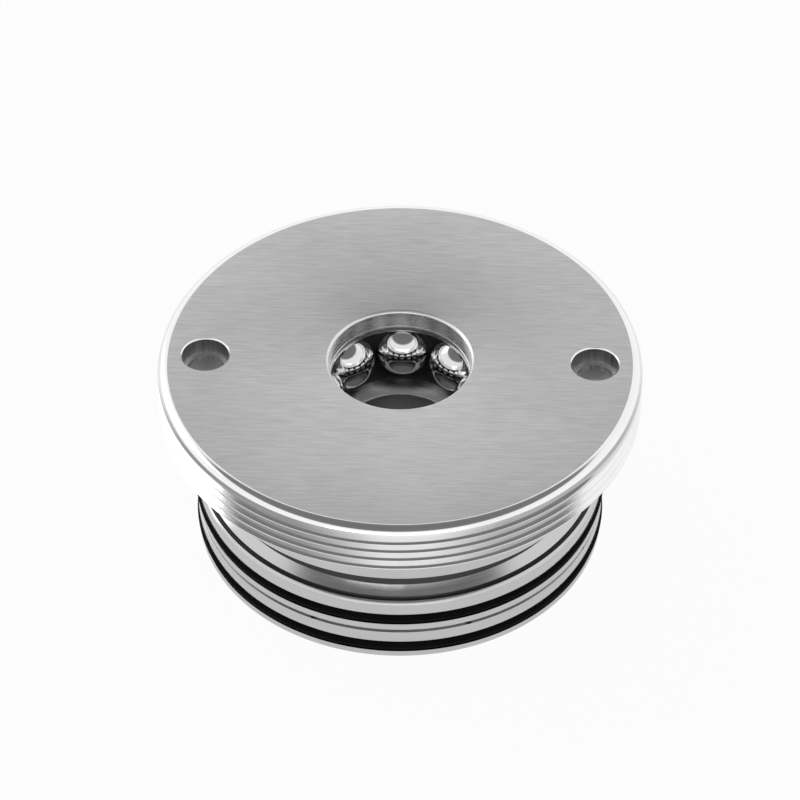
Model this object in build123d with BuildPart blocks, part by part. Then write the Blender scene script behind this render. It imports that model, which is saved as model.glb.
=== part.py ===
from build123d import *
import math
import os

# Zero-point locator: a pneumatic ball lock that screws into a pocket of a machine table.
# Frame: origin at the centre of the bottom face, +Z up along the bore axis, +X through
# one of the two spanner holes. Lengths are millimetres and angles are degrees.
# At rest the lock is shut: springs hold the piston up and its cone holds the balls in.

# Heights, stacked from the bottom face up
base_flange_thickness = 8.2
air_gap = 0.85
base_spigot_length = 3.8
piston_stroke = 8.0
piston_stop_gap = 0.5
piston_thickness = 8.0
cover_skirt_length = 6.25
flange_thickness = 13.0
body_land_length = 8.9

# Walls, stacked from the stud bore outwards
stud_bore_d = 32.2
cage_bore_step = 0.7
skirt_wall = 6.2
body_wall = 10.5
neck_step = 3.9
flange_overhang = 8.0

# Rim of the flange, with its screw thread
rim_fillet = 2.3
rim_lower_chamfer = 1.0
thread_pitch = 2.5
thread_depth = 1.4
thread_crest = 0.31
thread_root = 0.57
thread_start_drop = 1.35
thread_end_gap = 0.5
thread_start_angle = 90.0
thread_overreach = 0.15

# Mouth of the stud bore
stud_lip_length = 1.5
stud_lip_step = 0.2
taper_step = 0.15
bore_lead_in = 0.5
cover_lip_depth = 6.0
lip_collar_length = 0.9

# Spanner holes in the top face
spanner_rim_distance = 11.0
spanner_count = 2
spanner_hole_d = 10.8
spanner_hole_depth = 4.5
spanner_floor_d = 8.9
spanner_floor_depth = 5.9
spanner_edge_break = 0.3

# Locking balls
ball_d = 14.0
ball_gap = 0.5
ball_reach = 4.1
ball_release_gap = 0.15
ball_window_clearance = 0.05
ball_cone_clearance = 0.06

# Ball cage, seat ring and stud pocket
cage_top_web = 0.9
cage_bottom_web = 1.6
cage_hold = 0.45
cage_edge_break = 0.2
pocket_step = 3.1
pocket_floor_height = 8.0
seat_cone_drop = 1.5
seat_edge_break = 0.3
seat_spigot_wall = 5.0
seat_spigot_length = 3.0
seat_clearance = 0.03
register_depth = 0.7
dowel_d = 2.5
dowel_length = 6.4
dowel_reach_in_cage = 3.0
dowel_count = 2

# Piston
sleeve_margin = 0.55
sleeve_head_gap = 1.9
running_clearance = 0.05
piston_edge_break = 0.3

# Springs
spring_count = 8
spring_d = 8.0
spring_wire_d = 1.2
spring_turns = 7.5
spring_pocket_d = 8.8
spring_pocket_wall = 2.2
spring_floor_height = 5.0
spring_pocket_depth = 6.0
spring_end_gap = 0.05

# Seals and guide rings, each drawn at its fitted size
body_seal_section = 3.0
body_seal_proud = 0.35
body_groove_width = 3.2
upper_body_seal_rise = 3.4
lower_body_seal_rise = 3.5
piston_seal_section = 2.2
piston_seal_drop = 2.4
sleeve_seal_section = 2.2
sleeve_seal_rise = 1.9
base_seal_section = 1.9
cover_seal_section = 1.2
cover_seal_edge = 3.55
sliding_gap = 0.02
groove_side_gap = 0.15
guide_ring_thickness = 1.5
guide_ring_height = 3.4
guide_ring_rise = 2.6
guide_band_thickness = 1.5
guide_band_height = 2.2
guide_band_rise = 1.9

# Air way and the bottom edge
air_gap_depth = 4.5
air_way_count = 4
air_way_d = 3.0
air_notch_depth = 2.0
skirt_flute_depth = 1.2
outer_edge_break = 0.4

# Neck: a groove round the body, with a sloping floor that ends in a small step
upper_land_length = 10.2
ledge_chamfer = 0.65
ledge_width = 0.8
ledge_step = 0.65
neck_floor_rise = 1.45

# Tie screws and their washers
screw_count = 8
screw_wall = 1.0
screw_d = 4.0
screw_engagement = 5.8
screw_head_d = 7.0
screw_head_height = 4.0
screw_head_edge = 0.3
screw_socket_width = 3.0
screw_socket_depth = 2.0
screw_hole_d = 4.5
screw_head_recess = 0.3
counterbore_d = 7.5
tapped_run_out = 2.2
thread_fit_gap = 0.02
washer_thickness = 0.5

# Heights worked out from the stack
body_bottom = base_flange_thickness + air_gap
base_spigot_top = body_bottom + base_spigot_length
piston_bottom = base_spigot_top + piston_stop_gap + piston_stroke
piston_top = piston_bottom + piston_thickness
skirt_bottom = piston_top + piston_stop_gap
flange_bottom = skirt_bottom + cover_skirt_length
total_height = flange_bottom + flange_thickness
ledge_height = body_bottom + body_land_length
lip_bottom = total_height - cover_lip_depth
cage_top = lip_bottom + lip_collar_length
ball_height = cage_top - cage_top_web - ball_d / 2
cage_bottom = ball_height - ball_d / 2 - cage_bottom_web
cover_ceiling = cage_top - register_depth
sleeve_top_height = cover_ceiling - sleeve_head_gap
spring_length = piston_bottom + spring_pocket_depth - spring_floor_height
washer_bottom = screw_head_recess + screw_head_height
counterbore_depth = washer_bottom + washer_thickness
screw_length = flange_bottom + screw_engagement - washer_bottom
thread_start_height = flange_bottom - thread_start_drop
thread_length = flange_thickness + thread_start_drop - rim_fillet - thread_end_gap

# Radii worked out from the stack: the cage's wall holds a ball's centre when the ball is out, and
# the sleeve outside it has room for the cone beside a ball
stud_bore_r = stud_bore_d / 2
ball_r = ball_d / 2
ball_locked_r = stud_bore_r - ball_reach + ball_r
ball_travel = ball_reach + ball_release_gap
taper_small_r = stud_bore_r + stud_lip_step
taper_large_r = taper_small_r + taper_step
cage_bore_r = stud_bore_r + cage_bore_step
hub_r = ball_locked_r + ball_travel + cage_hold
sleeve_bore_r = hub_r + running_clearance
sleeve_r = sleeve_bore_r + ball_r + sleeve_margin
cover_bore_r = sleeve_r + running_clearance
chamber_r = sleeve_r + skirt_wall
spigot_r = chamber_r - running_clearance
body_r = chamber_r + body_wall
neck_r = body_r - neck_step
neck_floor_r = body_r - ledge_chamfer - ledge_width
flange_r = body_r + flange_overhang
register_r = hub_r + seat_clearance
pocket_r = stud_bore_r - pocket_step
seat_spigot_r = pocket_r + seat_spigot_wall
dowel_circle_r = (cage_bore_r + hub_r) / 2
spring_circle_r = hub_r + spring_pocket_wall + spring_pocket_d / 2
screw_circle_r = chamber_r + screw_wall + screw_hole_d / 2
air_gap_r = body_r - air_gap_depth
spanner_circle_r = flange_r - spanner_rim_distance
half_screw_step = 180.0 / screw_count

# Number of balls: as many opposite pairs as fit round their circle
ball_half_angle = math.degrees(math.asin((ball_d + ball_gap) / 2 / ball_locked_r))
ball_count = 2 * int(90.0 / ball_half_angle)
half_ball_step = 180.0 / ball_count

# The cone in the piston's sleeve: the cone stays one clearance away from each ball
# over the stroke, because the ball moves out by the cone's slope times the piston's travel
cone_slope = ball_travel / piston_stroke
cone_angle = math.atan(cone_slope)
cone_reach = ball_r + ball_cone_clearance
cone_contact_r = ball_locked_r + cone_reach * math.cos(cone_angle)
cone_contact_height = ball_height - cone_reach * math.sin(cone_angle)
cone_foot_height = cone_contact_height - (cone_contact_r - sleeve_bore_r) / cone_slope
cone_mouth_r = cone_contact_r + (sleeve_top_height - cone_contact_height) * cone_slope

# Seats of the rings
body_groove_r = body_r + body_seal_proud - body_seal_section
upper_body_seal_height = body_bottom + upper_body_seal_rise
piston_seal_outer_r = chamber_r - sliding_gap
piston_seal_height = piston_top - piston_seal_drop
piston_groove_r = piston_seal_outer_r - piston_seal_section
guide_band_outer_r = chamber_r - sliding_gap
guide_band_inner_r = guide_band_outer_r - guide_band_thickness
guide_band_middle = piston_bottom + guide_band_rise
guide_ring_inner_r = hub_r + sliding_gap
guide_ring_outer_r = guide_ring_inner_r + guide_ring_thickness
guide_ring_middle = piston_bottom + guide_ring_rise
sleeve_seal_inner_r = sleeve_r + sliding_gap
sleeve_groove_r = sleeve_seal_inner_r + sleeve_seal_section
sleeve_seal_height = skirt_bottom + sleeve_seal_rise
base_groove_r = chamber_r - base_seal_section
base_seal_height = (body_bottom + base_spigot_top) / 2
cover_seal_r = body_r - cover_seal_edge
cover_seal_height = flange_bottom - cover_seal_section / 2

parts_folder = "parts"
os.makedirs(parts_folder, exist_ok=True)


def save(piece, label):
    """Label a finished piece and write it to its own file."""
    piece.label = label
    export_step(piece, f"{parts_folder}/{label}.step")


def band(inner_r, outer_r, middle, height, mode=Mode.ADD):
    """Half section of a plain ring or groove, in a sketch on the XZ plane."""
    with Locations(((inner_r + outer_r) / 2, middle)):
        Rectangle(outer_r - inner_r, height, mode=mode)


def round_ring(label, circle_r, middle, section):
    """A round-section ring on the axis, written to its own file."""
    with BuildPart() as ring:
        with BuildSketch(Plane.XZ):
            with Locations((circle_r, middle)):
                Circle(section / 2)
        revolve(axis=Axis.Z)
    save(ring.part, label)


def flat_ring(label, inner_r, outer_r, middle, height):
    """A ring of rectangular section on the axis, written to its own file."""
    with BuildPart() as ring:
        with BuildSketch(Plane.XZ):
            band(inner_r, outer_r, middle, height)
        revolve(axis=Axis.Z)
    save(ring.part, label)


def polar_direction(angle):
    """Unit vector in the XY plane at an angle from +X."""
    turn = math.radians(angle)
    return Vector(math.cos(turn), math.sin(turn), 0)


# Helical groove of the rim's thread, cut from the flange cover below
thread_root_r = flange_r - thread_depth
thread_mouth = thread_pitch - thread_crest
mouth_slope = (thread_mouth - thread_root) / 2 / thread_depth
reach_half_width = thread_mouth / 2 + thread_overreach * mouth_slope
with BuildPart() as thread_groove:
    with BuildLine() as thread_path:
        Helix(
            pitch=thread_pitch,
            height=thread_length,
            radius=thread_root_r,
            center=(0, 0, thread_start_height),
        )
    with BuildSketch(Plane(origin=thread_path.line @ 0, x_dir=(1, 0, 0), z_dir=(0, -1, 0))):
        with BuildLine():
            Polyline(
                (0, thread_root / 2),
                (thread_depth + thread_overreach, reach_half_width),
                (thread_depth + thread_overreach, -reach_half_width),
                (0, -thread_root / 2),
                close=True,
            )
        make_face()
    sweep(path=thread_path.line, is_frenet=True)

# Flange cover: threaded disc with the tapered stud bore, a collar that centres the cage and a skirt
# that guides the piston's sleeve
with BuildPart() as flange_cover:
    with BuildSketch(Plane.XZ):
        with BuildLine():
            Polyline(
                (stud_bore_r, lip_bottom),
                (stud_bore_r, lip_bottom + stud_lip_length),
                (taper_small_r, lip_bottom + stud_lip_length),
                (taper_large_r, total_height - bore_lead_in),
                (taper_large_r + bore_lead_in, total_height),
                (flange_r, total_height),
                (flange_r, flange_bottom + rim_lower_chamfer),
                (flange_r - rim_lower_chamfer, flange_bottom),
                (spigot_r, flange_bottom),
                (spigot_r, skirt_bottom),
                (cover_bore_r, skirt_bottom),
                (cover_bore_r, cover_ceiling),
                (register_r, cover_ceiling),
                (register_r, cage_top),
                (cage_bore_r - seat_clearance, cage_top),
                (cage_bore_r - seat_clearance, lip_bottom),
                close=True,
            )
        make_face()
        band(
            sleeve_r,
            sleeve_groove_r,
            sleeve_seal_height,
            sleeve_seal_section + 2 * groove_side_gap,
            mode=Mode.SUBTRACT,
        )
    revolve(axis=Axis.Z)
    rim_edge = flange_cover.edges().filter_by_position(Axis.Z, total_height, total_height)
    fillet(rim_edge.sort_by(SortBy.RADIUS)[-1], radius=rim_fillet)
    add(thread_groove.part, rotation=(0, 0, thread_start_angle), mode=Mode.SUBTRACT)
    with BuildSketch(Plane.XY.offset(total_height)):
        with PolarLocations(spanner_circle_r, spanner_count):
            Circle(spanner_hole_d / 2)
    extrude(amount=-spanner_hole_depth, mode=Mode.SUBTRACT)
    with BuildSketch(Plane.XY.offset(total_height)):
        with PolarLocations(spanner_circle_r, spanner_count):
            Circle(spanner_floor_d / 2)
    extrude(amount=-spanner_floor_depth, mode=Mode.SUBTRACT)
    top_circles = flange_cover.edges().filter_by_position(Axis.Z, total_height, total_height)
    spanner_edges = top_circles.filter_by(lambda edge: abs(edge.radius - spanner_hole_d / 2) < 0.01)
    chamfer(spanner_edges, length=spanner_edge_break)
    with BuildSketch(Plane.XY.offset(flange_bottom)):
        with PolarLocations(screw_circle_r, screw_count, start_angle=half_screw_step):
            Circle(screw_d / 2 + thread_fit_gap)
    extrude(amount=screw_engagement + tapped_run_out, mode=Mode.SUBTRACT)
    with BuildSketch(Plane.XY.offset(skirt_bottom)):
        with PolarLocations(spigot_r, air_way_count):
            Rectangle(2 * skirt_flute_depth, air_way_d)
    extrude(amount=cover_skirt_length, mode=Mode.SUBTRACT)
save(flange_cover.part, "flange_cover")

# Cylinder body: upper half of the sealed spigot with the neck above it, bored for the piston
with BuildPart() as cylinder_body:
    with BuildSketch(Plane.XZ):
        with BuildLine():
            Polyline(
                (chamber_r, body_bottom),
                (body_r, body_bottom),
                (body_r, ledge_height - ledge_chamfer),
                (body_r - ledge_chamfer, ledge_height),
                (neck_floor_r, ledge_height),
                (neck_floor_r, ledge_height + ledge_step),
                (neck_r, ledge_height + ledge_step + neck_floor_rise),
                (neck_r, flange_bottom - upper_land_length),
                (body_r, flange_bottom - upper_land_length),
                (body_r, flange_bottom),
                (chamber_r, flange_bottom),
                close=True,
            )
        make_face()
        band(
            body_groove_r,
            body_r + body_seal_proud,
            upper_body_seal_height,
            body_groove_width,
            mode=Mode.SUBTRACT,
        )
        band(
            cover_seal_r - cover_seal_section / 2 - groove_side_gap,
            cover_seal_r + cover_seal_section / 2 + groove_side_gap,
            flange_bottom,
            2 * cover_seal_section,
            mode=Mode.SUBTRACT,
        )
    revolve(axis=Axis.Z)
    with BuildSketch(Plane.XY.offset(body_bottom)):
        with PolarLocations(screw_circle_r, screw_count, start_angle=half_screw_step):
            Circle(screw_hole_d / 2)
        with PolarLocations(screw_circle_r, air_way_count):
            Circle(air_way_d / 2)
    extrude(amount=flange_bottom - body_bottom, mode=Mode.SUBTRACT)
    with BuildSketch(Plane.XY.offset(flange_bottom)):
        with PolarLocations(chamber_r, air_way_count):
            Rectangle(2 * (screw_circle_r - chamber_r), air_way_d)
    extrude(amount=-air_notch_depth, mode=Mode.SUBTRACT)
save(cylinder_body.part, "cylinder_body")

# Base cover: lower half of the sealed spigot, with the foot of the stud pocket and the spring pockets
with BuildPart() as base_cover:
    with BuildSketch(Plane.XZ):
        with BuildLine():
            Polyline(
                (0, 0),
                (body_r - outer_edge_break, 0),
                (body_r, outer_edge_break),
                (body_r, base_flange_thickness),
                (air_gap_r, base_flange_thickness),
                (air_gap_r, body_bottom),
                (spigot_r, body_bottom),
                (spigot_r, base_spigot_top),
                (seat_spigot_r, base_spigot_top),
                (seat_spigot_r, base_spigot_top - seat_spigot_length),
                (pocket_r, base_spigot_top - seat_spigot_length),
                (pocket_r, pocket_floor_height),
                (0, pocket_floor_height),
                close=True,
            )
        make_face()
        band(
            body_groove_r,
            body_r + body_seal_proud,
            lower_body_seal_rise,
            body_groove_width,
            mode=Mode.SUBTRACT,
        )
        band(
            base_groove_r,
            chamber_r,
            base_seal_height,
            base_seal_section + 2 * groove_side_gap,
            mode=Mode.SUBTRACT,
        )
    revolve(axis=Axis.Z)
    with BuildSketch(Plane.XY.offset(base_spigot_top)):
        with PolarLocations(spring_circle_r, spring_count):
            Circle(spring_pocket_d / 2)
    extrude(amount=spring_floor_height - base_spigot_top, mode=Mode.SUBTRACT)
    with BuildSketch(Plane.XY):
        with PolarLocations(screw_circle_r, screw_count, start_angle=half_screw_step):
            Circle(counterbore_d / 2)
    extrude(amount=counterbore_depth, mode=Mode.SUBTRACT)
    with BuildSketch(Plane.XY.offset(counterbore_depth)):
        with PolarLocations(screw_circle_r, screw_count, start_angle=half_screw_step):
            Circle(screw_hole_d / 2)
    extrude(amount=body_bottom - counterbore_depth, mode=Mode.SUBTRACT)
    with BuildSketch(Plane.XY.offset(body_bottom)):
        with PolarLocations(air_gap_r, air_way_count):
            Rectangle(2 * (air_gap_r - screw_circle_r) + air_way_d, air_way_d)
    extrude(amount=-air_gap, mode=Mode.SUBTRACT)
save(base_cover.part, "base_cover")

# Seat ring: hardened hub that stands in the base cover, guides the piston and carries the cage
with BuildPart() as seat_ring:
    with BuildSketch(Plane.XZ):
        with BuildLine():
            Polyline(
                (pocket_r, base_spigot_top - seat_spigot_length),
                (seat_spigot_r - seat_clearance, base_spigot_top - seat_spigot_length),
                (seat_spigot_r - seat_clearance, base_spigot_top),
                (hub_r, base_spigot_top),
                (hub_r, cage_bottom),
                (cage_bore_r, cage_bottom),
                (pocket_r + seat_edge_break, cage_bottom - seat_cone_drop),
                (pocket_r, cage_bottom - seat_cone_drop - seat_edge_break),
                close=True,
            )
        make_face()
    revolve(axis=Axis.Z)
    with BuildSketch(Plane.XY.offset(cage_bottom)):
        with PolarLocations(dowel_circle_r, dowel_count, start_angle=half_ball_step):
            Circle(dowel_d / 2)
    extrude(amount=dowel_reach_in_cage - dowel_length, mode=Mode.SUBTRACT)
save(seat_ring.part, "seat_ring")

# Ball cage: sleeve with one round-bottomed window for each ball
window_r = ball_r + ball_window_clearance
with BuildPart() as ball_cage:
    with BuildSketch(Plane.XZ):
        band(cage_bore_r, hub_r, (cage_bottom + cage_top) / 2, cage_top - cage_bottom)
    revolve(axis=Axis.Z)
    end_edges = ball_cage.edges().filter_by(GeomType.CIRCLE).group_by(SortBy.RADIUS)[-1]
    chamfer(end_edges, length=cage_edge_break)
    for number in range(ball_count):
        outward = polar_direction(360 / ball_count * number)
        seat_centre = outward * ball_locked_r + Vector(0, 0, ball_height)
        with BuildSketch(Plane(origin=seat_centre, z_dir=outward)):
            Circle(window_r)
        extrude(amount=hub_r - ball_locked_r, mode=Mode.SUBTRACT)
        with Locations(seat_centre):
            Sphere(window_r, mode=Mode.SUBTRACT)
    with BuildSketch(Plane.XY.offset(cage_bottom)):
        with PolarLocations(dowel_circle_r, dowel_count, start_angle=half_ball_step):
            Circle(dowel_d / 2)
    extrude(amount=dowel_reach_in_cage, mode=Mode.SUBTRACT)
save(ball_cage.part, "ball_cage")

# Cage dowels: set the windows square to the spanner holes
with BuildPart() as cage_dowels:
    with BuildSketch(Plane.XY.offset(cage_bottom + dowel_reach_in_cage)):
        with PolarLocations(dowel_circle_r, dowel_count, start_angle=half_ball_step):
            Circle(dowel_d / 2)
    extrude(amount=-dowel_length)
save(cage_dowels.part, "cage_dowels")

# Locking balls, the first on +X and the rest following anticlockwise
for number in range(ball_count):
    ball_centre = polar_direction(360 / ball_count * number) * ball_locked_r
    with BuildPart() as ball:
        with Locations(ball_centre + Vector(0, 0, ball_height)):
            Sphere(ball_r)
    save(ball.part, f"ball_{number + 1}")

# Piston: disc with a coned sleeve that pushes the balls inwards as it rises
with BuildPart() as piston:
    with BuildSketch(Plane.XZ):
        with BuildLine():
            Polyline(
                (sleeve_bore_r, piston_bottom),
                (spigot_r - piston_edge_break, piston_bottom),
                (spigot_r, piston_bottom + piston_edge_break),
                (spigot_r, piston_top - piston_edge_break),
                (spigot_r - piston_edge_break, piston_top),
                (sleeve_r, piston_top),
                (sleeve_r, sleeve_top_height - piston_edge_break),
                (sleeve_r - piston_edge_break, sleeve_top_height),
                (cone_mouth_r, sleeve_top_height),
                (sleeve_bore_r, cone_foot_height),
                close=True,
            )
        make_face()
        band(
            piston_groove_r,
            chamber_r,
            piston_seal_height,
            piston_seal_section + 2 * groove_side_gap,
            mode=Mode.SUBTRACT,
        )
        band(guide_band_inner_r, chamber_r, guide_band_middle, guide_band_height, mode=Mode.SUBTRACT)
        band(hub_r, guide_ring_outer_r, guide_ring_middle, guide_ring_height, mode=Mode.SUBTRACT)
    revolve(axis=Axis.Z)
    with BuildSketch(Plane.XY.offset(piston_bottom)):
        with PolarLocations(spring_circle_r, spring_count):
            Circle(spring_pocket_d / 2)
    extrude(amount=spring_pocket_depth, mode=Mode.SUBTRACT)
save(piston.part, "piston")

# Springs: they stand in the base cover's pockets and push the piston up
spring_coil_r = (spring_d - spring_wire_d) / 2
spring_rise = spring_length - spring_wire_d - 2 * spring_end_gap
for number in range(spring_count):
    spring_centre = polar_direction(360 / spring_count * number) * spring_circle_r
    coil_base = spring_floor_height + spring_end_gap + spring_wire_d / 2
    with BuildPart() as spring:
        with BuildLine() as coil:
            Helix(
                pitch=spring_rise / spring_turns,
                height=spring_rise,
                radius=spring_coil_r,
                center=spring_centre + Vector(0, 0, coil_base),
            )
        with BuildSketch(Plane(origin=coil.line @ 0, z_dir=coil.line % 0)):
            Circle(spring_wire_d / 2)
        sweep(path=coil.line, is_frenet=True)
    save(spring.part, f"spring_{number + 1}")

# Seals and guide rings
body_seal_r = body_groove_r + body_seal_section / 2
round_ring("upper_body_seal", body_seal_r, upper_body_seal_height, body_seal_section)
round_ring("lower_body_seal", body_seal_r, lower_body_seal_rise, body_seal_section)
round_ring(
    "piston_seal",
    piston_groove_r + piston_seal_section / 2,
    piston_seal_height,
    piston_seal_section,
)
round_ring(
    "sleeve_seal",
    sleeve_seal_inner_r + sleeve_seal_section / 2,
    sleeve_seal_height,
    sleeve_seal_section,
)
round_ring("base_seal", base_groove_r + base_seal_section / 2, base_seal_height, base_seal_section)
round_ring("cover_seal", cover_seal_r, cover_seal_height, cover_seal_section)
flat_ring(
    "piston_guide_ring",
    guide_ring_inner_r,
    guide_ring_outer_r,
    guide_ring_middle,
    guide_ring_height,
)
flat_ring(
    "piston_guide_band",
    guide_band_inner_r,
    guide_band_outer_r,
    guide_band_middle,
    guide_band_height,
)

# Tie screws: they hold base cover, cylinder body and flange cover together
with BuildPart() as tie_screws:
    with BuildSketch(Plane.XY.offset(screw_head_recess)):
        with PolarLocations(screw_circle_r, screw_count, start_angle=half_screw_step):
            Circle(screw_head_d / 2)
    extrude(amount=screw_head_height)
    with BuildSketch(Plane.XY.offset(washer_bottom)):
        with PolarLocations(screw_circle_r, screw_count, start_angle=half_screw_step):
            Circle(screw_d / 2)
    extrude(amount=screw_length)
    outer_edges = tie_screws.edges().filter_by(GeomType.CIRCLE).group_by(Axis.Z)
    chamfer(outer_edges[0] + outer_edges[-1], length=screw_head_edge)
    with BuildSketch(Plane.XY.offset(screw_head_recess)):
        with PolarLocations(screw_circle_r, screw_count, start_angle=half_screw_step):
            RegularPolygon(screw_socket_width / 2, side_count=6, major_radius=False)
    extrude(amount=screw_socket_depth, mode=Mode.SUBTRACT)
save(tie_screws.part, "tie_screws")

# Seal washers under the screw heads
with BuildPart() as seal_washers:
    with BuildSketch(Plane.XY.offset(washer_bottom)):
        with PolarLocations(screw_circle_r, screw_count, start_angle=half_screw_step):
            Circle(screw_head_d / 2)
            Circle(screw_d / 2 + thread_fit_gap, mode=Mode.SUBTRACT)
    extrude(amount=washer_thickness)
save(seal_washers.part, "seal_washers")
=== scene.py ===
"""Finished look of a zero-point locator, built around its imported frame.

The housings, the ball lock, the piston and the fasteners are turned, drilled and dressed here in
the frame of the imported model: +Z runs up the bore, and the part stands on the floor at z = 0.
Sizes are millimetres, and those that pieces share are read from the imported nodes.
"""

import logging
import math
from collections.abc import Iterable, Sequence
from dataclasses import dataclass, field
from enum import Enum

import bmesh
import bpy
from mathutils import Matrix, Vector


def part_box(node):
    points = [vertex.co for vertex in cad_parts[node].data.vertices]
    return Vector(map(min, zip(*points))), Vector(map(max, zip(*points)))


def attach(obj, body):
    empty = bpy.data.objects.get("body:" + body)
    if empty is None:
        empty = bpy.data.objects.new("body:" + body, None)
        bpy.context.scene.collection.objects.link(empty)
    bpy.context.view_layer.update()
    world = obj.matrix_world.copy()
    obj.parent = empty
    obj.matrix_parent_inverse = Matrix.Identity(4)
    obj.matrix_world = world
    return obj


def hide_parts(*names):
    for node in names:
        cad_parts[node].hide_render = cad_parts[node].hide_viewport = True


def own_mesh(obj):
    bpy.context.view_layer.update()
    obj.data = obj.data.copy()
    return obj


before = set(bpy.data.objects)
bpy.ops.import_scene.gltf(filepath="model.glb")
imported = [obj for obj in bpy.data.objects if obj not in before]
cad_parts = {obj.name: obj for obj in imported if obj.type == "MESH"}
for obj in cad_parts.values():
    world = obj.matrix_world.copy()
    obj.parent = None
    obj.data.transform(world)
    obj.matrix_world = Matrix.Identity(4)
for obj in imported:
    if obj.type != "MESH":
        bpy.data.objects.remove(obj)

LOG = logging.getLogger("locator")
MM = 0.001
FULL_TURN = 2 * math.pi
TURNING_STEPS = 288
HOLE_STEPS = 48
WELD_DISTANCE = 2e-7
GROOVE_GAP = 0.15
SLIDING_GAP = 0.02
RUNNING_GAP = 0.05
CUT_PAST = 1.0

Point = tuple[float, float]
Colour = tuple[float, float, float]
Mesh = bmesh.types.BMesh
Piece = bpy.types.Object
Material = bpy.types.Material
Socket = bpy.types.NodeSocket


class Lay(Enum):
    """Direction in which a tool left its marks on a surface."""

    STRAIGHT = "straight lines along X"
    TURNED = "rings around Z"
    DRILLED = "upright lines"


class Body(Enum):
    """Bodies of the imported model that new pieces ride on."""

    HOUSING = "housing"
    PISTON = "piston"


@dataclass(frozen=True)
class Span:
    """Reach from the axis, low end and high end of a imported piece, in millimetres."""

    radius: float
    low: float
    high: float

    @classmethod
    def of(cls, node: str) -> "Span":
        """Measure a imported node."""
        low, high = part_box(node)
        return cls(high.x / MM, low.z / MM, high.z / MM)

    @property
    def height(self) -> float:
        """Distance between the two ends."""
        return self.high - self.low

    @property
    def middle(self) -> float:
        """Height of the middle."""
        return (self.low + self.high) / 2


def measured(node: str) -> Span:
    """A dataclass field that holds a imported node's span."""
    return field(default_factory=lambda: Span.of(node))


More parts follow.
